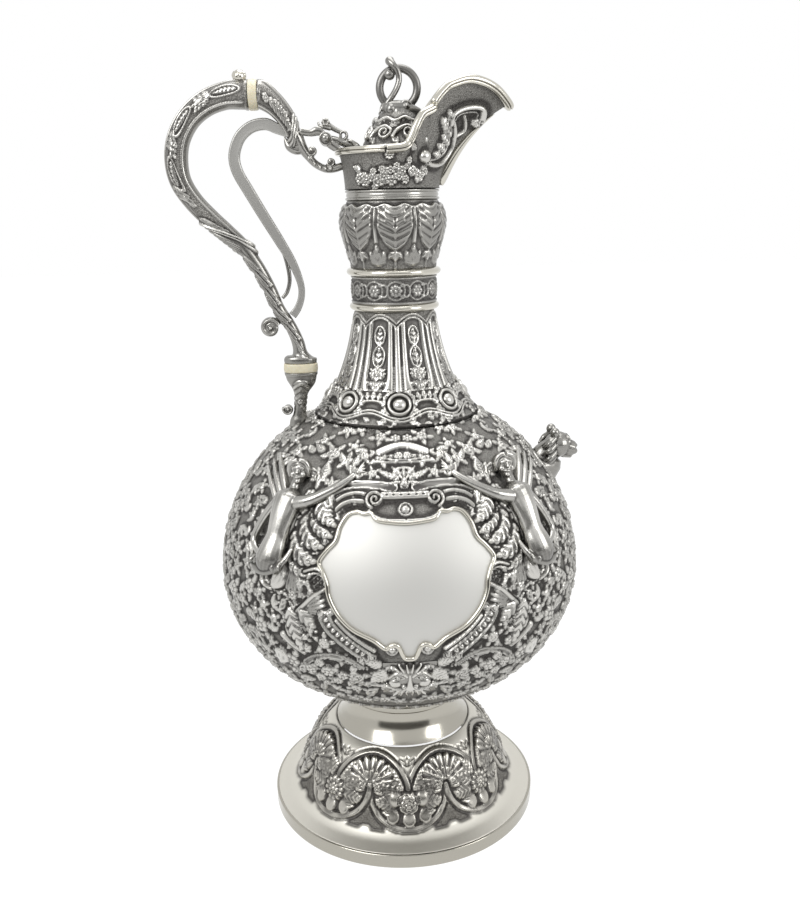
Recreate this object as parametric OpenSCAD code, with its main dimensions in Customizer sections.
// Chased silver claret ewer: globe body on a spreading foot, fluted trumpet neck, helmet spout with a
// hinged domed lid, and a tall hollow handle broken by two pale insulating bands.
// Millimetres, +Z up, +X towards the spout, origin on the axis at the foot's rest face.

/* [Foot] */
// Radius of the foot at its rim
foot_r = 64.8; // [58:0.2:70]
// Height of the upright rim wire
foot_rim_h = 6.5; // [5.5:0.25:8]
// Width of the plain polished flange
flange_w = 12.4; // [10:0.2:14]
// Rise of the flange from the rim to the bell
flange_rise = 2.5; // [1.5:0.25:3]
// Height of the chased bell
bell_h = 33.3; // [30:0.1:38]
// Radius at the top of the bell
bell_top_r = 32.8; // [31:0.2:35]
// Height of the concave collar under the body
stem_h = 21; // [18:0.5:23]
// Radius of the collar's waist
stem_waist_r = 27; // [25:0.25:28]
// Radius of the collar where it meets the body
stem_top_r = 28; // [27:0.25:30]
// Proud of each step ring on the collar
step_proud = 1.4; // [0.8:0.1:2]

/* [Body] */
// Largest radius of the globe
body_r = 82.8; // [78:0.2:86]
// Height of the globe's lower half
body_low_h = 65.5; // [62:0.5:70]
// Height of the full ellipse of the globe's upper half
body_up_h = 79.6; // [75:0.2:82]
// Thickness of the silver sheet
wall = 1; // [0.9:0.05:1.3]

/* [Neck] */
// Radius where the neck meets the globe
neck_base_r = 37.5; // [36:0.25:39]
// Radius at the top of the trumpet
neck_r = 17.7; // [17:0.1:18.5]
// Height of the trumpet
flare_h = 47.2; // [43:0.2:50]
// How full the trumpet's curve is
flare_power = 1.5; // [1.3:0.05:1.6]
// Number of flutes, bosses and leaves round the neck
neck_repeat = 8; // [6:1:10]
// Proud of the flutes on the trumpet
flute_proud = 0.8; // [0.5:0.1:1.1]
// Height of each plain neck ring
ring_h = 3.4; // [2.6:0.1:4.2]
// Proud of the plain neck rings
ring_proud = 2.3; // [1.5:0.1:3]
// Radius of the rosette band
band_r = 18.6; // [18:0.1:19.5]
// Height of the rosette band
band_h = 11.7; // [9:0.1:14]
// Height of the acanthus knop
knop_h = 28.4; // [24:0.1:31]
// Swell of the knop over its ends
knop_swell = 3.2; // [2.4:0.1:4]
// Height of the double bead under the mouth
mouth_ring_h = 4.5; // [3.5:0.1:5.5]
// Radius of a domed boss on the neck collar
boss_r = 4.6; // [3.6:0.1:5.2]

/* [Mouth] */
// Radius at the root of the mouth
mouth_r = 20.6; // [20:0.1:21.2]
// Height of the mouth from the bead to the rear rim
mouth_h = 17; // [16:0.1:19]
// Radius of the rear rim
rim_r = 23.5; // [22.5:0.1:24.5]
// Reach of the spout's tip from the axis
spout_reach = 51.8; // [48:0.2:57]
// Rise of the spout's arch over the rear rim
spout_rise = 27.9; // [24:0.1:31]
// Height of the reeded lip moulding
lip_h = 3; // [2.4:0.1:3.4]
// Thickness of the reeded lip moulding
lip_t = 3.4; // [2.8:0.1:4]

/* [Lid] */
// Radius of the lid's flange
lid_r = 20.2; // [19.4:0.1:20.4]
// Thickness of the lid's flange
lid_t = 1; // [0.8:0.1:1.2]
// Depth of the bezel under the lid
bezel_h = 3; // [2:0.1:4]
// Radius of the lid's dome
dome_r = 15.5; // [14.5:0.1:16]
// Height of the lid's dome
dome_h = 14; // [12:0.1:16]
// Offset of the dome from the mouth's axis towards the spout
dome_x = 3.5; // [3:0.1:4]
// Radius of the finial ring to the middle of its wire
finial_r = 7.9; // [7:0.1:8.6]
// Radius of the finial ring's wire
finial_wire_r = 1.45; // [1.1:0.05:1.7]
// Height of the collar of heads under the finial ring
finial_collar_h = 4; // [3.4:0.1:4.8]

/* [Hinge] */
// Distance of the hinge axis behind the mouth's axis
hinge_x = 27.9; // [27:0.1:28.6]
// Height of the hinge axis over the rear rim
hinge_rise = 4; // [3.8:0.1:4.6]
// Radius of the hinge barrel
barrel_r = 2.8; // [2.6:0.05:3]
// Radius of the hinge pin
pin_r = 1; // [0.8:0.05:1.2]
// Length of the lid's knuckle
knuckle_l = 5; // [4.4:0.1:5.6]
// Length of each fixed knuckle
fixed_knuckle_l = 3; // [2.6:0.1:3.4]
// Reach of the thumbpiece from the hinge axis
thumb_reach = 7.3; // [6.6:0.1:7.6]
// Radial clearance of the pin in its knuckles
pin_clear = 0.05; // [0.03:0.01:0.08]
// Gap between pieces that turn past each other
turn_gap = 0.3; // [0.3:0.05:0.4]

/* [Handle] */
// Reach of the handle behind the axis
handle_reach = 96; // [92:0.5:100]
// Height of the handle's crest over the rear rim
handle_crest = 31.5; // [29:0.5:34]
// Distance of the handle's leg from the neck's root
leg_gap = 7.3; // [6.5:0.1:8]
// Half thickness of the grip at the upper insulator
grip_t = 5.9; // [5.4:0.1:6.4]
// Half width of the lower insulator along the handle's plane
lower_band_w = 7.6; // [7:0.1:8.2]
// Half width of the lower insulator across the handle's plane
lower_band_d = 4.8; // [4.6:0.1:5.2]
// Thickness of each insulator
band_t = 4; // [3.4:0.1:4.6]
// Radius of the insulators' spigots
spigot_r = 2.4; // [2:0.1:2.8]
// Length of each spigot
spigot_l = 3.4; // [3:0.1:3.8]
// Radius of the insulators' cross pins
cross_pin_r = 0.5; // [0.4:0.05:0.6]
// Half width of the strap in the handle's plane
strap_w = 2.5; // [2.1:0.1:2.8]
// Half thickness of the strap across the handle's plane
strap_t = 1.6; // [1.3:0.1:2]
// Radius of the ball on the grip's crest
ball_r = 2.9; // [2.5:0.1:3.3]
// Radius of the volute at the grip's foot
volute_r = 4.9; // [4.4:0.1:5]

/* [Ornament] */
// Height of the figures' relief as a share of the globe's radius
relief_share = 0.1087; // [0.09:0.0005:0.12]
// Half thickness of a figure's torso as a share of the globe's radius
torso_share = 0.0845; // [0.075:0.0005:0.095]
// Half angle that the cartouche spans
cartouche_half_angle = 26; // [24:0.5:28]
// Half thickness of the cartouche frame
frame_t = 2.6; // [2:0.1:3.2]
// Radius of the lion's skull
lion_r = 7.1; // [6:0.1:8]

/* [Hidden] */
// Gap where pieces seat on each other's curved faces
seat_gap = 0.15;
// Overrun of cuts past a face
over = 1;
// Steps of revolved profiles and of swept sections
arc_steps = 16;
tube_sides = 10;
$fn = 64;

silver = [0.72, 0.71, 0.68];
bright_silver = [0.84, 0.83, 0.78];
dark_silver = [0.55, 0.54, 0.52];
ivory = [0.92, 0.89, 0.78];

// Height on the finial collar where its ring stands
finial_seat_share = 0.12;

// Figures on the globe, and the leg beside the neck
figure_relief = body_r * relief_share;
figure_t = body_r * torso_share;
leg_r = neck_base_r + leg_gap;

// Heights of the stacked pieces
z_bell = foot_rim_h + flange_rise;
z_stem = z_bell + bell_h;
z_body = z_stem + stem_h;
z_mid = z_body + body_low_h * sqrt(1 - pow((stem_top_r - wall) / body_r, 2));
z_neck = z_mid + body_up_h * sqrt(1 - pow(neck_base_r / body_r, 2));
z_ring1 = z_neck + flare_h;
z_band = z_ring1 + ring_h;
z_ring2 = z_band + band_h;
z_knop = z_ring2 + ring_h;
z_bead = z_knop + knop_h;
z_mouth = z_bead + mouth_ring_h;
z_rim = z_mouth + mouth_h;
z_hinge = z_rim + hinge_rise;
z_flange = z_rim - lid_t;
z_seat = z_flange - turn_gap;
z_dome_top = z_rim + dome_h;
z_collar = z_dome_top + seat_gap;
z_ring_centre = z_collar + finial_collar_h * finial_seat_share + finial_r + finial_wire_r;
z_leg = z_mid + body_up_h * sqrt(1 - pow(leg_r / body_r, 2));
z_crest = z_rim + handle_crest;

// Curves

// Smooth curve through hand-placed points, with k steps between neighbours
function catmull(a, b, c, d, t) =
    (2 * b + (c - a) * t + (2 * a - 5 * b + 4 * c - d) * t * t + (3 * b - a - 3 * c + d) * t * t * t) / 2;
function spline(p, k) = let (n = len(p) - 1)
    [for (i = [0:n - 1], j = [0:k - 1])
         catmull(p[max(i - 1, 0)], p[i], p[i + 1], p[min(i + 2, n)], j / k),
     p[n]];

// Cubic curve from a to d with handles b and c
function bezier(a, b, c, d, t) = let (s = 1 - t)
    a * s * s * s + 3 * b * s * s * t + 3 * c * s * t * t + d * t * t * t;

// Direction along a list of points at place i
function along(p, i) = let (d = p[min(i + 1, len(p) - 1)] - p[max(i - 1, 0)]) d / norm(d);

function reversed(p) = [for (i = [len(p) - 1:-1:0]) p[i]];

// Closed solid through a list of rings, each counter-clockwise about the way the list runs
module skin(rings, loop = false) {
    n = len(rings);
    m = len(rings[0]);
    last = loop ? n - 1 : n - 2;
    sides = [for (i = [0:last], j = [0:m - 1])
                 let (k = (i + 1) % n, a = i * m + j, b = i * m + (j + 1) % m,
                      c = k * m + (j + 1) % m, d = k * m + j)
                 each [[a, c, b], [a, d, c]]];
    ends = loop ? [] : [[for (j = [0:m - 1]) j], [for (j = [m - 1:-1:0]) (n - 1) * m + j]];
    polyhedron(points = [for (r = rings) each r], faces = concat(sides, ends), convexity = 8);
}

// Ring of a sweep in the handle's plane: p is [x, z, half thickness in the plane, half width across it]
function plane_ring(path, i) =
    let (p = path[i], t = along([for (q = path) [q[0], q[1]]], i))
    [for (j = [0:tube_sides - 1])
         let (f = 360 * j / tube_sides, a = p[2] * cos(f))
         [p[0] + t[1] * a, p[3] * sin(f), p[1] - t[0] * a]];
module plane_sweep(path) skin([for (i = [0:len(path) - 1]) plane_ring(path, i)]);

// Globe surface: radius at a height, and a point at an angle from the front, a height share and a proud
function globe_r(z) = let (s = (z - z_mid) / (z < z_mid ? body_low_h : body_up_h))
    body_r * sqrt(max(0, 1 - s * s));
function globe_z(share) = z_mid + share * (share < 0 ? body_low_h : body_up_h);
function globe_point(angle, share, proud) =
    let (z = globe_z(share), r = globe_r(z) + proud) [r * sin(angle), -r * cos(angle), z];
// Point moved out to the globe's surface where it would sink below it
function seated(p) = let (r = norm([p[0], p[1]]), least = globe_r(p[2]) + seat_gap)
    r < least ? [p[0] * least / r, p[1] * least / r, p[2]] : p;

// Tube on the globe: path of [angle, height share, proud, half width, half depth]
function globe_ring(path, i) =
    let (centres = [for (q = path) globe_point(q[0], q[1], q[2])], c = centres[i], t = along(centres, i),
         out = [sin(path[i][0]), -cos(path[i][0]), path[i][1]],
         flat_out = out - t * (out * t), up = flat_out / norm(flat_out), side = cross(up, t))
    [for (j = [0:tube_sides - 1])
         let (f = 360 * j / tube_sides)
         seated(c + side * path[i][3] * cos(f) + up * path[i][4] * sin(f))];
module globe_tube(path, loop = false)
    skin([for (i = [0:len(path) - 1]) globe_ring(path, i)], loop);

// Ring revolved about the axis from a half outline
module revolve(outline) rotate_extrude() polygon(outline);

// Foot

// Outline of the flange and bell from the rim inwards
bell_base_r = foot_r - flange_w;
bell_shares = [[0, 0], [0.08, 0.16], [0.20, 0.40], [0.40, 0.66], [0.68, 0.88], [1, 1]];
bell_outline = concat([[foot_r - wall, foot_rim_h], [bell_base_r, z_bell]],
    [for (s = spline(bell_shares, 3))
         [bell_base_r + (bell_top_r - bell_base_r) * s[0], z_bell + bell_h * s[1]]]);

module foot_rim() color(bright_silver) {
    edge = foot_rim_h / 12;
    revolve([[foot_r - edge, 0], [foot_r, edge], [foot_r, foot_rim_h - edge], [foot_r - edge, foot_rim_h],
             [foot_r - wall, foot_rim_h], [foot_r - wall, foot_rim_h - wall],
             [foot_r - 3 * wall, foot_rim_h - wall], [foot_r - 3 * wall, 0]]);
}

// Flowers low on the bell and shells between them higher up: place in the outline, radius share, half step
foot_repeat = 8;
flower_rise_share = 0.3;
foot_flower_shares = [[7, 0.098, 0], [12, 0.105, 0.5]];

// Low dome of a radius on a point, swelling along a unit direction
module low_dome(at, out, r) {
    rise = r * flower_rise_share;
    ball = (r * r + rise * rise) / (2 * rise);
    translate(at + out * (rise - ball)) sphere(r = ball);
}

module foot() color(silver) {
    base = foot_rim_h - wall;
    inner = [for (p = bell_outline) [p[0] - wall, p[1] - wall]];
    difference() {
        union() {
            revolve(concat([[0, base], [foot_r - wall, base]], bell_outline, [[0, z_stem]]));
            for (f = foot_flower_shares, i = [0:foot_repeat - 1])
                let (p = bell_outline[f[0]], t = along(bell_outline, f[0]))
                rotate([0, 0, 360 * (i + f[2]) / foot_repeat])
                    low_dome([p[0], 0, p[1]], [t[1], 0, -t[0]], foot_r * f[1]);
        }
        revolve(concat([[0, base - over], [foot_r - 3 * wall, base - over], [foot_r - 3 * wall, base]],
                       [for (i = [1:len(inner) - 1]) inner[i]],
                       [[bell_top_r - wall, z_stem], [bell_top_r - wall, z_stem + over],
                        [0, z_stem + over]]));
    }
}

// Collar under the body: a hollow sweep from the bell to the waist, then two step rings
stem_shares = [[0, 0], [0.30, 0.10], [0.68, 0.26], [0.93, 0.45], [1, 0.62]];
step_shares = [0.68, 0.80, 0.86, 0.96];

module stem_collar() color(bright_silver) {
    curve = [for (s = spline(stem_shares, 4))
                 [bell_top_r + (stem_waist_r - bell_top_r) * s[0], z_stem + stem_h * s[1]]];
    steps = [[stem_waist_r + step_proud, z_stem + stem_h * step_shares[0]],
             [stem_waist_r + step_proud, z_stem + stem_h * step_shares[1]],
             [stem_waist_r + step_proud / 2, z_stem + stem_h * step_shares[1]],
             [stem_waist_r + step_proud / 2, z_stem + stem_h * step_shares[2]],
             [stem_top_r + step_proud / 2, z_stem + stem_h * step_shares[2]],
             [stem_top_r + step_proud / 2, z_stem + stem_h * step_shares[3]],
             [stem_top_r, z_stem + stem_h * step_shares[3]],
             [stem_top_r, z_body]];
    inner = [[stem_top_r - wall, z_body], [stem_waist_r - 2 * wall, z_stem + stem_h * step_shares[0]],
             [stem_waist_r - wall, z_stem + stem_h * stem_shares[3][1]], [bell_top_r - wall, z_stem]];
    revolve(concat(curve, steps, inner));
}

// Globe

globe_top_angle = acos(neck_base_r / body_r);
function globe_outline(inset) =
    [for (i = [0:2 * arc_steps])
         let (t = -90 + (90 + globe_top_angle) * i / (2 * arc_steps), b = t < 0 ? body_low_h : body_up_h)
         [(body_r - inset) * cos(t), z_mid + (b - inset) * sin(t)]];

// Main flowers of the chased ground: angle from the front, height share, radius share; in four quarters
flower_shares = [[16.7, -0.37, 0.055], [38, -0.32, 0.058], [48, -0.11, 0.058], [53, 0.10, 0.052],
                 [64, 0.02, 0.058], [79, -0.08, 0.058], [72, 0.21, 0.058], [76, 0.42, 0.056],
                 [60, -0.34, 0.058], [10, 0.79, 0.045], [34, 0.79, 0.045], [75, 0.80, 0.045]];

module flower(angle, share, r) {
    at = globe_point(angle, share, 0);
    half = share < 0 ? body_low_h : body_up_h;
    out = [at[0] / body_r / body_r, at[1] / body_r / body_r, (at[2] - z_mid) / half / half];
    low_dome(at, out / norm(out), r);
}

module body() color(silver) {
    inner = globe_outline(wall);
    mouth_of_globe = inner[len(inner) - 1][0];
    difference() {
        union() {
            revolve(concat(globe_outline(0), [[0, z_neck]]));
            for (f = flower_shares, angle = [f[0], -f[0], 180 + f[0], 180 - f[0]])
                flower(angle, f[1], body_r * f[2]);
        }
        revolve(concat(inner, [[mouth_of_globe, z_neck + over], [0, z_neck + over]]));
    }
}

// Neck

// Radius of the trumpet at a share of its height
function flare_r(share) =
    neck_base_r - (neck_base_r - neck_r) * pow(1 - pow(1 - share, flare_power), 1 / flare_power);
// Trumpet outline through height shares, set out by a proud
function flare_line(places, proud) = [for (s = places) [flare_r(s) + proud, z_neck + flare_h * s]];
function flare_outline(from, to, proud) =
    flare_line([for (i = [0:arc_steps]) from + (to - from) * i / arc_steps], proud);

// Height shares of the trumpet's outline, closer together at its root where the collar sits
collar_top_share = 0.22;
root_steps = 6;
root_crowding = 1.5;
root_shares = [for (i = [0:root_steps]) collar_top_share * pow(i / root_steps, root_crowding)];
flare_shares = concat(root_shares, [for (i = [1:arc_steps - root_steps])
    collar_top_share + (1 - collar_top_share) * i / (arc_steps - root_steps)]);

flute_angle_share = 0.5;
flute_tip_share = 0.45;
flute_from_share = 0.26;
flute_to_share = 0.88;
flute_end_share = 0.94;

// Raised flute over part of the neck's turn
module flute(angle, from, to)
    rotate([0, 0, -angle / 2])
        rotate_extrude(angle = angle)
            polygon(concat(flare_outline(from, to, flute_proud),
                           reversed(flare_outline(from, to, -wall / 2))));

module neck() color(silver) {
    step_angle = 360 / neck_repeat;
    revolve(concat(flare_line(flare_shares, 0), reversed(flare_line(flare_shares, -wall))));
    for (i = [0:neck_repeat - 1])
        rotate([0, 0, step_angle * i]) {
            flute(step_angle * flute_angle_share, flute_from_share, flute_to_share);
            flute(step_angle * flute_angle_share * flute_tip_share, flute_from_share, flute_end_share);
        }
}

// Collar round the neck's root, with domed bosses
collar_skirt_share = 0.7;
collar_low_r = neck_base_r + boss_r * collar_skirt_share;
collar_low_share = sqrt(1 - pow(collar_low_r / body_r, 2));
boss_at_share = 0.10;
boss_sink_share = -0.30;

// Seat of the collar: the globe's shoulder and the trumpet's root, set out by a proud
function collar_seat(proud) =
    concat([[collar_low_r + proud, globe_z(collar_low_share)]], flare_line(root_shares, proud));

module neck_collar() color(silver) {
    gap = 2 * seat_gap;
    top = z_neck + flare_h * collar_top_share;
    revolve(concat(collar_seat(gap + wall), reversed(collar_seat(gap))));
    difference() {
        for (i = [0:neck_repeat - 1])
            rotate([0, 0, 360 * i / neck_repeat])
                translate([flare_r(boss_at_share) + boss_r * boss_sink_share, 0,
                           z_neck + flare_h * boss_at_share + boss_r * boss_sink_share])
                    sphere(r = boss_r);
        revolve(concat([[0, globe_z(collar_low_share) - boss_r]],
                       [[collar_low_r + boss_r, globe_z(collar_low_share) - boss_r]],
                       collar_seat(gap),
                       [[flare_r(collar_top_share) + gap, top + boss_r], [0, top + boss_r]]));
    }
}

// Plain ring with a rounded edge round a tube
module neck_ring(z, tube_r) {
    half = ring_h / 2;
    revolve(concat([[neck_r - wall, z], [tube_r, z]],
                   [for (i = [0:arc_steps / 2])
                        let (t = -90 + 180 * i / (arc_steps / 2))
                        [tube_r + ring_proud * cos(t), z + half + half * sin(t)]],
                   [[tube_r, z + ring_h], [neck_r - wall, z + ring_h]]));
}

module lower_neck_ring() color(bright_silver) neck_ring(z_ring1, neck_r);
module upper_neck_ring() color(bright_silver) neck_ring(z_ring2, band_r);

module neck_band() color(dark_silver) {
    bead = ring_h / 6;
    revolve([[band_r - wall, z_band], [band_r + bead, z_band], [band_r + bead, z_band + bead],
             [band_r, z_band + 2 * bead], [band_r, z_ring2 - 2 * bead], [band_r + bead, z_ring2 - bead],
             [band_r + bead, z_ring2], [band_r - wall, z_ring2]]);
}

// Knop: a swollen tube with raised acanthus leaves
knop_peak_power = 1.6;
leaf_angle_share = 0.78;
leaf_from_share = 0.06;
leaf_to_share = 0.90;
leaf_proud = 0.9;
function knop_r(share) = band_r + (mouth_r - wall - band_r) * share
    + knop_swell * sin(180 * pow(share, knop_peak_power));
function knop_outline(from, to, proud) =
    [for (i = [0:arc_steps])
         let (s = from + (to - from) * i / arc_steps)
         [knop_r(s) + proud * sin(180 * i / arc_steps), z_knop + knop_h * s]];

module knop() color(silver) {
    step_angle = 360 / neck_repeat;
    angle = step_angle * leaf_angle_share;
    inner = [for (i = [0:arc_steps]) [knop_r(i / arc_steps) - wall, z_knop + knop_h * i / arc_steps]];
    inset = [for (p = knop_outline(leaf_from_share, leaf_to_share, 0)) [p[0] - wall / 2, p[1]]];
    revolve(concat(knop_outline(0, 1, 0), reversed(inner)));
    for (i = [0:neck_repeat - 1])
        rotate([0, 0, step_angle * i - angle / 2])
            rotate_extrude(angle = angle)
                polygon(concat(knop_outline(leaf_from_share, leaf_to_share, leaf_proud), reversed(inset)));
}

module mouth_ring() color(bright_silver) {
    bead = mouth_ring_h / 4;
    revolve(concat([[knop_r(1) - wall, z_bead], [mouth_r - wall, z_bead]],
                   [for (k = [0:1], i = [0:arc_steps / 2])
                        let (t = -90 + 180 * i / (arc_steps / 2))
                        [mouth_r - wall + bead * cos(t), z_bead + bead * (1 + 2 * k + sin(t))]],
                   [[mouth_r - wall, z_mouth], [knop_r(1) - wall, z_mouth]]));
}

// Mouth and spout

// Half of the lip from the tip to the rim's volute: angle about the axis, then shares of the spout's
// reach, the rim's radius and the spout's rise
lip_shares = [[0, 1, 0, 0.655], [14, 0.856, 0.255, 0.89], [27, 0.656, 0.468, 1], [40, 0.485, 0.609, 0.92],
              [50, 0.329, 0.736, 0.60], [60, 0.243, 0.82, 0.45], [72, 0.171, 0.889, 0.25],
              [84, 0.08, 0.955, 0.054]];
volute_angle = 97;
rear_steps = 14;
lead_out_share = 0.05;
lead_up_share = 0.28;
throw_out_share = 0.38;
throw_up_share = 0.70;

lip_side = [for (s = lip_shares) [s[0], s[1] * spout_reach, s[2] * rim_r, s[3] * spout_rise]];
lip_end = [[volute_angle, rim_r * cos(volute_angle), rim_r * sin(volute_angle), 0]];
lip_half = concat(lip_side, lip_end);
function mirrored_lip(p) = [-p[0], p[1], -p[2], p[3]];
lip_table = concat([for (i = [len(lip_half) - 1:-1:1]) mirrored_lip(lip_half[i])], lip_half);
rear_table = [for (i = [1:rear_steps - 1])
                  let (a = volute_angle + (360 - 2 * volute_angle) * i / rear_steps)
                  [a, rim_r * cos(a), rim_r * sin(a), 0]];
front_stations = spline(lip_table, 2);
stations = concat(front_stations, rear_table);
wall_steps = 8;

// Curve of the wall at a station from the bead to the top of the lip
function wall_root(s) = [mouth_r * cos(s[0]), mouth_r * sin(s[0]), z_mouth];
function wall_lip(s) = [s[1], s[2], z_rim + s[3]];
function wall_throw(s) = let (a = wall_root(s), d = wall_lip(s) - a)
    a + [d[0] * throw_out_share, d[1] * throw_out_share, d[2] * throw_up_share];
function wall_up(s) = let (d = wall_lip(s) - wall_throw(s)) d / norm(d);
function wall_edge(s) = wall_lip(s) - wall_up(s) * lip_h;
function wall_point(s, t) =
    let (a = wall_root(s), e = wall_edge(s), d = e - a)
    bezier(a, a + [d[0] * lead_out_share, d[1] * lead_out_share, d[2] * lead_up_share], wall_throw(s), e, t);

mouth_grid = [for (s = stations) [for (k = [0:wall_steps]) wall_point(s, k / wall_steps)]];
function wall_normal(i, k) =
    let (n = len(stations), ahead = mouth_grid[(i + 1) % n][k], behind = mouth_grid[(i + n - 1) % n][k],
         above = mouth_grid[i][min(k + 1, wall_steps)], below = mouth_grid[i][max(k - 1, 0)],
         c = cross(ahead - behind, above - below))
    c / norm(c);

module mouth() color(silver)
    skin([for (i = [0:len(stations) - 1])
              concat([for (k = [wall_steps:-1:0]) mouth_grid[i][k]],
                     [for (k = [0:wall_steps])
                          let (d = wall_normal(i, k) * wall, p = mouth_grid[i][k] - d)
                          k == 0 ? [p[0], p[1], z_mouth]
                              : k == wall_steps && i >= len(front_stations)
                              ? [p[0], p[1], mouth_grid[i][k][2]] : p])], loop = true);

module lip_moulding() color(bright_silver) {
    rings = [for (i = [0:len(front_stations) - 1])
                 let (s = front_stations[i], up = wall_up(s), out = wall_normal(i, wall_steps),
                      c = wall_edge(s) + up * (lip_h / 2 + seat_gap) + out * (lip_t / 2 - wall))
                 [for (j = [0:tube_sides - 1])
                      let (f = 360 * j / tube_sides)
                      c + out * lip_t / 2 * cos(f) - up * lip_h / 2 * sin(f)]];
    skin(rings);
}

// Rear rim: two reeds on the wall's edge and a volute at each end
rear_station = [180, -rim_r, 0, 0];
rear_edge_r = -wall_edge(rear_station)[0];
z_rear_edge = wall_edge(rear_station)[2] + seat_gap;
volute_turn = asin(lip_t / rim_r) + volute_angle;

module rear_rim_moulding() color(bright_silver) {
    reed = (z_rim - z_rear_edge) / 4;
    turn = 360 - 2 * volute_turn;
    rotate([0, 0, volute_turn])
        rotate_extrude(angle = turn)
            union() {
                for (k = [1, 3])
                    translate([rear_edge_r + reed, z_rear_edge + k * reed])
                        circle(r = reed);
                translate([rear_edge_r - wall, z_rear_edge])
                    square([wall + reed, 4 * reed]);
            }
}

// Ledge inside the mouth that the lid's flange closes on
seat_turn_share = 0.5;
seat_inner_r = lid_r - 2 * wall;

module lid_seat() color(silver) {
    t = z_rear_edge - turn_gap;
    outer_r = rear_edge_r - wall - turn_gap - 2 * seat_gap;
    rotate([0, 0, 180 - 180 * seat_turn_share])
        rotate_extrude(angle = 360 * seat_turn_share)
            polygon([[seat_inner_r, t - wall], [outer_r, t - wall],
                     [outer_r, z_seat], [seat_inner_r, z_seat]]);
}

// Smooth rib under the spout
keel_w = 3.2;
keel_proud = 2.6;
keel_from_share = 0.05;
keel_to_share = 0.86;
keel_steps = 10;

module spout_keel() color(bright_silver) {
    tip = lip_half[0];
    share = [for (i = [0:keel_steps]) keel_from_share + (keel_to_share - keel_from_share) * i / keel_steps];
    line = [for (t = share) wall_point(tip, t)];
    rings = [for (i = [0:keel_steps])
                 let (t = along(line, i), out = [t[2], 0, -t[0]],
                      fade = sin(180 * sqrt((i + 1) / (keel_steps + 2))))
                 [for (j = [0:tube_sides - 1])
                      let (f = 360 * j / tube_sides)
                      line[i] + out * (seat_gap + keel_proud * fade * max(0, cos(f)))
                          + [0, keel_w * fade * sin(f), 0]]];
    skin(rings);
}

// Hinge

// Cylinder across the handle's plane, centred on it
module cross_bar(x, z, r, l) translate([x, 0, z]) rotate([90, 0, 0]) cylinder(r = r, h = l, center = true);
// Plate in the handle's plane, from y = low over a thickness
module plane_plate(outline, low, t)
    translate([0, low + t, 0]) rotate([90, 0, 0]) linear_extrude(t) polygon(outline);

fixed_low = knuckle_l / 2 + turn_gap;
bar_t = barrel_r * 0.45;
bracket_foot_z = z_rim + seat_gap;
bracket_foot_shares = [0.98, 1.06];
stay_end_share = 0.195;

// Point of the handle: shares of the way from the rim to the reach, and from the leg's seat to the crest
function handle_x(share) = -(rim_r + share * (handle_reach - rim_r));
function handle_z(share) = z_leg + share * (z_crest - z_leg);

module fixed_knuckle() {
    difference() {
        union() {
            translate([-hinge_x, fixed_low + fixed_knuckle_l, z_hinge])
                rotate([90, 0, 0])
                    cylinder(r = barrel_r, h = fixed_knuckle_l);
            plane_plate([[-hinge_x + barrel_r * 0.9, z_hinge], [-hinge_x - bar_t, z_hinge - barrel_r * 0.8],
                         [-rim_r * bracket_foot_shares[1], bracket_foot_z],
                         [-rim_r * bracket_foot_shares[0], bracket_foot_z]], fixed_low, fixed_knuckle_l);
            plane_plate([[-hinge_x, z_hinge + barrel_r - bar_t], [-hinge_x, z_hinge + barrel_r],
                         [handle_x(stay_end_share), z_hinge + barrel_r + bar_t / 2],
                         [handle_x(stay_end_share), z_hinge + barrel_r - bar_t / 2]],
                        fixed_low, fixed_knuckle_l / 2);
        }
        cross_bar(-hinge_x, z_hinge, pin_r + pin_clear, 4 * knuckle_l);
    }
}

module hinge_bracket() color(silver) {
    fixed_knuckle();
    mirror([0, 1, 0]) fixed_knuckle();
}

pin_ball_share = 1.8;

module hinge_pin() color(ivory) {
    reach = fixed_low + fixed_knuckle_l + seat_gap + pin_r * sqrt(pow(pin_ball_share, 2) - 1);
    cross_bar(-hinge_x, z_hinge, pin_r, 2 * reach);
    for (side = [-1, 1])
        translate([-hinge_x, side * reach, z_hinge])
            sphere(r = pin_r * pin_ball_share);
}

// Lid

dome_top_share = 0.52;
dome_fall_power = 1.15;
function dome_outline(inset) =
    [for (i = [0:arc_steps])
         let (s = i / arc_steps)
         [dome_r * (1 - (1 - dome_top_share) * pow(s, dome_fall_power)) - inset,
          z_flange + lid_t + dome_h * s - inset]];

module lid() color(silver) {
    bezel_r = seat_inner_r - 2 * turn_gap;
    difference() {
        union() {
            translate([0, 0, z_flange]) cylinder(r = lid_r, h = lid_t);
            translate([0, 0, z_flange - bezel_h]) cylinder(r = bezel_r, h = bezel_h);
            translate([dome_x, 0, 0])
                revolve(concat([[0, z_flange]], [[dome_r, z_flange]], dome_outline(0),
                               [[0, z_flange + lid_t + dome_h]]));
        }
        translate([0, 0, z_flange - bezel_h - over]) cylinder(r = bezel_r - wall, h = bezel_h + over);
        translate([dome_x, 0, 0])
            intersection() {
                revolve(concat([[0, z_flange - over], [dome_r - wall, z_flange - over]], dome_outline(wall),
                               [[0, z_flange + lid_t + dome_h - wall]]));
                translate([-dome_x, 0, z_flange - over])
                    cylinder(r = bezel_r - wall, h = dome_h + bezel_h);
            }
    }
}

leaf_foot_shares = [0.98, 0.70];
leaf_scroll_share = 0.74;

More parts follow.
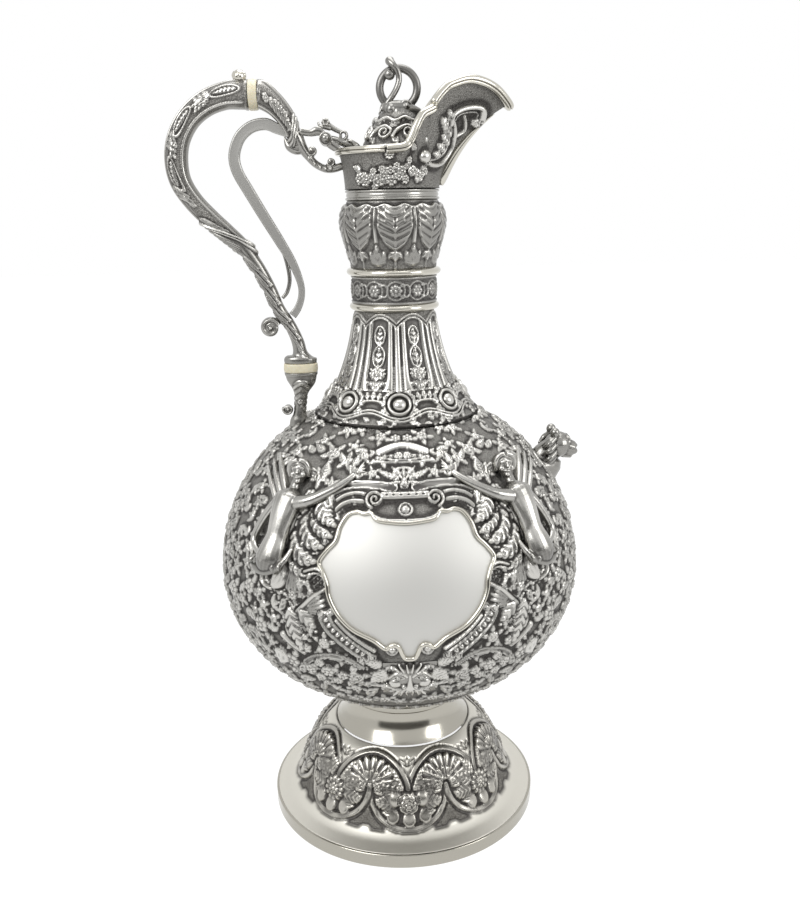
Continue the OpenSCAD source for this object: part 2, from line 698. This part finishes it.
module lid_hinge_leaf() color(silver) {
    foot_z = z_flange + lid_t + seat_gap;
    difference() {
        union() {
            cross_bar(-hinge_x, z_hinge, barrel_r, knuckle_l);
            plane_plate([[-hinge_x, z_hinge + barrel_r], [-rim_r * 0.88, z_hinge + barrel_r * 0.9],
                         [-lid_r * leaf_foot_shares[1], foot_z + lid_t],
                         [-lid_r * leaf_foot_shares[1], foot_z], [-lid_r * leaf_foot_shares[0], foot_z],
                         [-rim_r * 0.92, z_hinge - barrel_r * 0.6], [-hinge_x, z_hinge - barrel_r * 0.5]],
                        -knuckle_l / 2, knuckle_l);
            cross_bar(-rim_r * 0.86, z_hinge + barrel_r * 0.35, barrel_r * leaf_scroll_share, knuckle_l);
        }
        cross_bar(-hinge_x, z_hinge, pin_r + pin_clear, 2 * knuckle_l);
    }
}

// Lever over the hinge: shares of its reach from the hinge axis, then half thickness and half width
thumb_shares = [[0.28, 0.56, 0.08, 0.26], [-0.02, 0.66, 0.14, 0.28], [-0.30, 0.76, 0.13, 0.34],
                [-0.38, 0.86, 0.10, 0.34], [-0.22, 0.92, 0.09, 0.30], [-0.03, 0.86, 0.08, 0.24]];

module thumbpiece() color(silver)
    plane_sweep([for (s = spline(thumb_shares, 3))
                     [-hinge_x + s[0] * thumb_reach, z_hinge + s[1] * thumb_reach,
                      s[2] * thumb_reach, s[3] * thumb_reach]]);

// Finial

head_count = 4;
head_r = finial_collar_h * 0.72;

module finial_collar() color(dark_silver) {
    base_r = dome_r * dome_top_share;
    difference() {
        translate([dome_x, 0, z_collar]) {
            cylinder(r1 = base_r, r2 = base_r * 0.72, h = finial_collar_h);
            for (i = [0:head_count - 1])
                rotate([0, 0, 360 * (i + 0.5) / head_count])
                    translate([base_r * 0.66, 0, finial_collar_h * 0.85]) {
                        sphere(r = head_r);
                        rotate([0, 100, 0]) cylinder(r1 = head_r * 0.7, r2 = head_r * 0.4, h = head_r * 1.5);
                    }
        }
        translate([dome_x, 0, z_ring_centre])
            rotate([90, 0, 0])
                rotate_extrude()
                    translate([finial_r, 0])
                        circle(r = finial_wire_r + seat_gap);
        translate([dome_x, 0, z_collar - 2 * head_r]) cylinder(r = 3 * dome_r, h = 2 * head_r);
    }
}

module finial_ring() color(dark_silver)
    translate([dome_x, 0, z_ring_centre])
        rotate([90, 0, 0])
            rotate_extrude()
                translate([finial_r, 0])
                    circle(r = finial_wire_r);

// Tendril wound past the ring: shares of the ring's radius from its centre, then of its wire
tendril_shares = [[-0.62, -0.66, -0.30, 0.30], [-0.40, -0.42, -0.22, 0.42], [-0.12, -0.39, 0.06, 0.46],
                  [0.02, -0.39, 0.42, 0.46], [-0.06, -0.40, 0.80, 0.46], [-0.26, -0.40, 1.10, 0.50],
                  [-0.42, -0.26, 1.28, 0.70], [-0.46, -0.10, 1.38, 0.80], [-0.44, 0.02, 1.50, 0.20]];

module finial_tendril() color(dark_silver) {
    path = spline(tendril_shares, 3);
    line = [for (p = path) [dome_x + p[0] * finial_r, p[1] * finial_r, z_ring_centre + p[2] * finial_r]];
    skin([for (i = [0:len(path) - 1])
              let (t = along(line, i), side = cross([0, -1, 0], t), u = side / norm(side), v = cross(t, u))
              [for (j = [0:tube_sides - 1])
                   let (f = 360 * j / tube_sides)
                   line[i] + (u * cos(f) + v * sin(f)) * path[i][3] * finial_wire_r * 1.7]]);
}

// Handle

// Each row: shares along the handle's box, then half thickness as a share of the grip's at the insulator
socket_shares = [[0.393, 0.917, 0.90, 0.86], [0.317, 0.886, 0.78, 0.74],
                 [0.264, 0.854, 0.69, 0.66], [0.240, 0.824, 0.64, 0.62], [0.230, 0.800, 0.54, 0.54]];
grip_shares = [[0.5, 0.938, 1, 1], [0.55, 0.938, 0.98, 0.96], [0.641, 0.934, 0.90, 0.84],
               [0.752, 0.914, 0.85, 0.78], [0.848, 0.877, 0.81, 0.76], [0.9145, 0.824, 0.80, 0.75],
               [0.9366, 0.767, 0.80, 0.75], [0.920, 0.7106, 0.75, 0.70], [0.855, 0.6573, 0.69, 0.66],
               [0.763, 0.609, 0.66, 0.62], [0.669, 0.5675, 0.60, 0.56], [0.586, 0.529, 0.53, 0.52],
               [0.5007, 0.4677, 0.50, 0.48], [0.4345, 0.4045, 0.48, 0.46], [0.3876, 0.348, 0.46, 0.44],
               [0.324, 0.298, 0.44, 0.42], [0.282, 0.250, 0.48, 0.46], [0.269, 0.213, 0.60, 0.56]];
band_x_share = 0.269;
flare_end_share = 0.194;
band_top_share = 0.184;

upper_band_x = handle_x(grip_shares[0][0]) + band_t;
upper_band_z = handle_z(grip_shares[0][1]);
band_x = handle_x(band_x_share);
band_z = handle_z(band_top_share) - band_t;

function handle_path(rows) = [for (s = rows) [handle_x(s[0]), handle_z(s[1]), s[2] * grip_t, s[3] * grip_t]];

// Bores for an insulator's spigot and its cross pin, along X or along Z
module spigot_bore(at, turn) translate(at) rotate(turn) {
    cylinder(r = spigot_r + pin_clear, h = spigot_l + turn_gap);
    translate([0, 0, spigot_l / 2])
        rotate([90, 0, 0])
            cylinder(r = cross_pin_r + pin_clear, h = 4 * grip_t, center = true);
}

// Outside of the socket, set out by a proud
function socket_path(proud) =
    let (start = [for (d = [seat_gap, spigot_l / 3]) [upper_band_x + d, upper_band_z, grip_t, grip_t]],
         curve = spline(concat([start[1]], handle_path(socket_shares)), 3))
    [for (p = concat([start[0]], curve)) [p[0], p[1], p[2] + proud, p[3] + proud]];

module handle_upper_socket() color(silver) {
    difference() {
        plane_sweep(socket_path(0));
        spigot_bore([upper_band_x, 0, upper_band_z], [0, 90, 0]);
    }
}

module upper_insulator() color(ivory) translate([upper_band_x - band_t, 0, upper_band_z]) rotate([0, 90, 0])
    difference() {
        union() {
            translate([0, 0, seat_gap]) cylinder(r = grip_t + seat_gap, h = band_t - seat_gap);
            translate([0, 0, -spigot_l]) cylinder(r = spigot_r, h = band_t + 2 * spigot_l);
        }
        for (z = [-spigot_l / 2, band_t + spigot_l / 2])
            translate([0, 0, z])
                rotate([90, 0, 0])
                    cylinder(r = cross_pin_r + pin_clear, h = 4 * grip_t, center = true);
    }

module handle_grip() color(silver) {
    end = [[band_x, handle_z(flare_end_share + 0.006), lower_band_w * 0.94, lower_band_d * 0.92],
           [band_x, handle_z(band_top_share) + seat_gap, lower_band_w * 0.96, lower_band_d * 0.94]];
    difference() {
        plane_sweep(spline(concat(handle_path(grip_shares), end), 3));
        spigot_bore([upper_band_x - band_t, 0, upper_band_z], [0, -90, 0]);
        spigot_bore([band_x, 0, band_z + band_t], [0, 0, 0]);
    }
}

module lower_insulator() color(ivory) translate([band_x, 0, band_z])
    difference() {
        union() {
            linear_extrude(band_t)
                union() {
                    for (side = [-1, 1])
                        translate([side * (lower_band_w - lower_band_d), 0]) circle(r = lower_band_d);
                    square([2 * (lower_band_w - lower_band_d), 2 * lower_band_d], center = true);
                }
            translate([0, 0, -spigot_l]) cylinder(r = spigot_r, h = band_t + 2 * spigot_l);
        }
        for (z = [-spigot_l / 2, band_t + spigot_l / 2])
            translate([0, 0, z])
                rotate([90, 0, 0])
                    cylinder(r = cross_pin_r + pin_clear, h = 4 * grip_t, center = true);
    }

cross_pin_l = grip_t * 1.5;

module insulator_pins() color(bright_silver) {
    for (x = [upper_band_x - band_t - spigot_l / 2, upper_band_x + spigot_l / 2])
        cross_bar(x, upper_band_z, cross_pin_r, cross_pin_l);
    for (z = [band_z - spigot_l / 2, band_z + band_t + spigot_l / 2])
        cross_bar(band_x, z, cross_pin_r, cross_pin_l * 0.8);
}

// Leg from the lower insulator to the globe's shoulder: distance shares from the band down to the seat
leg_shares = [[0.06, 0.94, 0.94], [0.20, 0.82, 0.84], [0.40, 0.44, 0.56], [0.62, 0.34, 0.48],
              [0.82, 0.40, 0.52], [0.94, 0.56, 0.62], [1.14, 0.66, 0.70]];
leg_scroll_shares = [0.72278, 0.72, 0.36];
leg_straight_share = 0.2;

// Place of the leg at a share of its drop: straight at first, then leaning out to its seat
function leg_x(share) = let (lean = (share - leg_straight_share) / (1 - leg_straight_share))
    band_x + (-leg_r - band_x) * max(0, min(1, lean));

module handle_leg() color(silver) {
    drop = band_z - z_leg;
    top = [[band_x, band_z - seat_gap, lower_band_w * 0.96, lower_band_d * 0.94]];
    path = concat(top, [for (s = leg_shares)
                            [leg_x(s[0]), band_z - drop * s[0], lower_band_w * s[1], lower_band_d * s[2]]]);
    curve = spline(path, 3);
    difference() {
        union() {
            skin([for (i = [0:len(curve) - 1])
                      [for (p = plane_ring(curve, i))
                           let (r = norm([p[0], p[1]]),
                                least = globe_z(sqrt(1 - pow(r / body_r, 2))) + seat_gap)
                           [p[0], p[1], max(p[2], least)]]]);
            cross_bar(leg_x(leg_scroll_shares[1]) - lower_band_w * leg_scroll_shares[0],
                      band_z - drop * leg_scroll_shares[1], lower_band_w * leg_scroll_shares[2], lower_band_d);
        }
        spigot_bore([band_x, 0, band_z], [0, 180, 0]);
        translate([0, 0, globe_z(collar_low_share) - boss_r])
            cylinder(r = collar_low_r + wall + 3 * seat_gap,
                     h = boss_r + z_neck - globe_z(collar_low_share));
    }
}

ball_at_share = 0.545;
ball_sink_share = 0.45;

module grip_ball() color(bright_silver) {
    seat = upper_band_z + grip_t + seat_gap;
    translate([handle_x(ball_at_share), 0, seat])
        difference() {
            translate([0, 0, ball_r * ball_sink_share]) sphere(r = ball_r);
            translate([0, 0, -2 * ball_r]) cylinder(r = 2 * ball_r, h = 2 * ball_r);
        }
}

// Scroll behind the grip's foot: rolled discs about its own axis, each prouder than the one round it
volute_at_shares = [0.443, 0.291];
roll_shares = [[1, 0.62], [0.72, 0.78], [0.40, 0.92]];

module grip_volute() color(silver)
    for (r = roll_shares)
        cross_bar(handle_x(volute_at_shares[0]), handle_z(volute_at_shares[1]),
                  volute_r * r[0], grip_t * r[1]);

// Strap inside the handle, and the thin tine that leaves it
strap_shares = [[0.330, 0.852, 0.9], [0.407, 0.861, 1], [0.487, 0.855, 1], [0.553, 0.832, 1],
                [0.590, 0.800, 1], [0.602, 0.7665, 1], [0.584, 0.730, 1], [0.530, 0.682, 1],
                [0.448, 0.612, 0.96], [0.362, 0.541, 0.9], [0.290, 0.478, 0.76], [0.2485, 0.4225, 0.62],
                [0.244, 0.384, 0.60], [0.268, 0.349, 0.66], [0.304, 0.326, 0.74]];
tine_shares = [[0.352, 0.527, 0.3], [0.322, 0.474, 0.36], [0.312, 0.430, 0.36], [0.330, 0.396, 0.36],
               [0.360, 0.378, 0.32]];
function strap_path(rows) = [for (s = rows) [handle_x(s[0]), handle_z(s[1]), s[2] * strap_w, strap_t]];

module handle_strap() color(silver) {
    difference() {
        plane_sweep(spline(strap_path(strap_shares), 2));
        plane_sweep(socket_path(seat_gap));
    }
    plane_sweep(spline(strap_path(tine_shares), 2));
}

// C-scroll from the socket's end round to the mouth's rear wall, with a bud inside each end
terminal_shares = [[0.88, 0.29], [0.70, 0.65], [0.46, 0.85], [0.235, 0.915], [0.05, 0.84]];
terminal_drop = 10.6;
terminal_t = 2.1;
terminal_bud_r = 2.5;
terminal_bud_shares = [[0.66, 0.24], [0.20, 0.605]];
terminal_wall_share = 0.62;

terminal_wall_x = wall_point(rear_station, terminal_wall_share)[0] - 2 * seat_gap;
socket_end = handle_path([for (i = [2, 1]) socket_shares[len(socket_shares) - i]]);
terminal_from = [socket_end[1][0], socket_end[1][1]];
// Place in the scroll: shares of the way from the wall to the socket, and of the drop below the socket
function terminal_place(s) = [terminal_wall_x + (terminal_from[0] - terminal_wall_x) * s[0],
                              terminal_from[1] - terminal_drop * s[1]];

module handle_terminal() color(silver) {
    way = along([[socket_end[0][0], socket_end[0][1]], terminal_from], 1);
    start = [for (d = [seat_gap, terminal_t])
                 concat(terminal_from + way * d, [terminal_t * 1.2, terminal_t * 1.3])];
    curve = [for (s = terminal_shares) concat(terminal_place(s), [terminal_t * 0.8, terminal_t * 1.1])];
    plane_sweep(spline(concat(start, curve), 3));
    for (s = terminal_bud_shares)
        cross_bar(terminal_place(s)[0], terminal_place(s)[1], terminal_bud_r, 2 * terminal_t);
}

// Ornament on the globe

// Feline head that leans out of the shoulder under the spout
lion_share = 0.60;
lion_lean = 38;
lion_neck_share = 1.25;

module lion_head() color(silver) {
    base = globe_point(90, lion_share, 0);
    head = [base[0] + lion_r * 1.32, 0, base[2] + lion_r * 0.75];
    difference() {
        union() {
            translate(head) {
                sphere(r = lion_r);
                translate([lion_r * 0.72, 0, -lion_r * 0.36]) sphere(r = lion_r * 0.56);
                for (side = [-1, 1])
                    translate([-lion_r * 0.30, side * lion_r * 0.62, lion_r * 0.78])
                        sphere(r = lion_r * 0.32);
                rotate([0, -90 - lion_lean, 0])
                    cylinder(r1 = lion_r * 0.86, r2 = lion_r * lion_neck_share, h = lion_r * 2.4);
            }
        }
        revolve([for (p = globe_outline(-2 * seat_gap)) p]);
    }
}

// Figures: angle from the cartouche's middle, height share, proud, half width, half depth;
// the last three are shares of the relief, the torso and the torso
torso_shares = [[46.2, 0.655, 0.34, 0.30, 0.28], [45.6, 0.600, 0.40, 0.90, 0.55],
                [45.8, 0.555, 0.46, 0.80, 0.66], [45.7, 0.500, 0.42, 0.62, 0.60],
                [45.5, 0.430, 0.38, 0.52, 0.52], [45.3, 0.355, 0.40, 0.80, 0.62],
                [44.4, 0.305, 0.36, 0.86, 0.60], [43.6, 0.260, 0.28, 0.60, 0.46],
                [42.8, 0.205, 0.20, 0.42, 0.36], [42, 0.150, 0.14, 0.26, 0.24],
                [43.2, 0.110, 0.12, 0.20, 0.20]];
reach_shares = [[42, 0.605, 0.44, 0.36, 0.36], [37, 0.625, 0.48, 0.30, 0.30],
                [29.6, 0.682, 0.44, 0.26, 0.26], [25.5, 0.720, 0.38, 0.24, 0.22],
                [22.9, 0.751, 0.30, 0.26, 0.18], [20.5, 0.775, 0.24, 0.14, 0.12]];
hip_arm_shares = [[49.5, 0.600, 0.40, 0.34, 0.34], [53.5, 0.520, 0.36, 0.28, 0.28],
                  [56, 0.400, 0.30, 0.25, 0.25], [54, 0.355, 0.34, 0.20, 0.20],
                  [50.5, 0.335, 0.38, 0.18, 0.18]];
wing_shares = [[49, 0.620, 0.18, 0.34, 0.22], [56, 0.670, 0.14, 0.42, 0.22],
               [65, 0.715, 0.12, 0.40, 0.20], [75, 0.745, 0.08, 0.20, 0.14]];
head_shares = [[46.4, 0.640, 0.36, 0.26, 0.26], [46.6, 0.675, 0.46, 0.30, 0.30],
               [46.8, 0.705, 0.56, 0.56, 0.56], [47, 0.735, 0.62, 0.66, 0.64],
               [47.2, 0.770, 0.56, 0.54, 0.54], [47.3, 0.792, 0.50, 0.22, 0.22]];

function figure_path(rows, side) =
    [for (s = spline(rows, 2)) [side * s[0], s[1], s[2] * figure_relief, s[3] * figure_t, s[4] * figure_t]];

module nymph(side) color(silver)
    for (rows = [torso_shares, reach_shares, hip_arm_shares, wing_shares, head_shares])
        globe_tube(figure_path(rows, side));

module nymph_front_left() nymph(-1);
module nymph_front_right() nymph(1);
module nymph_back_left() rotate([0, 0, 180]) nymph(-1);
module nymph_back_right() rotate([0, 0, 180]) nymph(1);

// Cartouche frame: half outline from the top round to the foot, as shares of its half angle and of the
// height between its foot and its crest, then its width share
cartouche_low_share = -0.235;
cartouche_high_share = 0.555;
outline_shares = [[0, 0.955, 0.9], [0.26, 0.97, 1], [0.55, 1, 1], [0.82, 0.93, 0.9], [0.92, 0.78, 1],
                  [1.04, 0.60, 1.1], [1.02, 0.40, 1], [0.90, 0.26, 0.9], [0.66, 0.12, 1], [0.34, 0.055, 1],
                  [0, 0, 1.1]];

module cartouche() color(silver) {
    half = [for (s = spline(outline_shares, 3))
                [s[0] * cartouche_half_angle,
                 cartouche_low_share + s[1] * (cartouche_high_share - cartouche_low_share), s[2]]];
    loop = concat(half, [for (i = [len(half) - 2:-1:1]) [-half[i][0], half[i][1], half[i][2]]]);
    n = len(loop);
    points = [for (q = loop) [q[0], q[1], frame_t * 0.35, frame_t * q[2], frame_t * 0.8]];
    wrapped = concat([points[n - 1]], points, [points[0]]);
    skin([for (i = [1:n]) globe_ring(wrapped, i)], loop = true);
}

module cartouche_front() cartouche();
module cartouche_back() rotate([0, 0, 180]) cartouche();

// Bearded mask under the cartouche: brow to beard
mask_shares = [[0, -0.315, 0.10, 0.60, 0.16], [0, -0.345, 0.16, 1.15, 0.26], [0, -0.385, 0.22, 1.20, 0.32],
               [0, -0.430, 0.26, 1.00, 0.34], [0, -0.475, 0.20, 0.80, 0.28], [0, -0.520, 0.10, 0.40, 0.16]];
nose_shares = [[0, -0.355, 0.40, 0.16, 0.10], [0, -0.390, 0.52, 0.20, 0.16], [0, -0.425, 0.64, 0.34, 0.20],
               [0, -0.440, 0.58, 0.20, 0.12]];

module mask() color(silver)
    for (rows = [mask_shares, nose_shares])
        globe_tube(figure_path(rows, 1));

module mask_front() mask();
module mask_back() rotate([0, 0, 180]) mask();

foot_rim();
foot();
stem_collar();
body();
neck_collar();
neck();
lower_neck_ring();
neck_band();
upper_neck_ring();
knop();
mouth_ring();
mouth();
lid_seat();
rear_rim_moulding();
lip_moulding();
spout_keel();
hinge_bracket();
hinge_pin();
lid();
lid_hinge_leaf();
thumbpiece();
finial_collar();
finial_ring();
finial_tendril();
handle_terminal();
handle_upper_socket();
upper_insulator();
handle_grip();
grip_ball();
grip_volute();
handle_strap();
lower_insulator();
handle_leg();
insulator_pins();
lion_head();
nymph_front_left();
nymph_front_right();
nymph_back_left();
nymph_back_right();
cartouche_front();
cartouche_back();
mask_front();
mask_back();
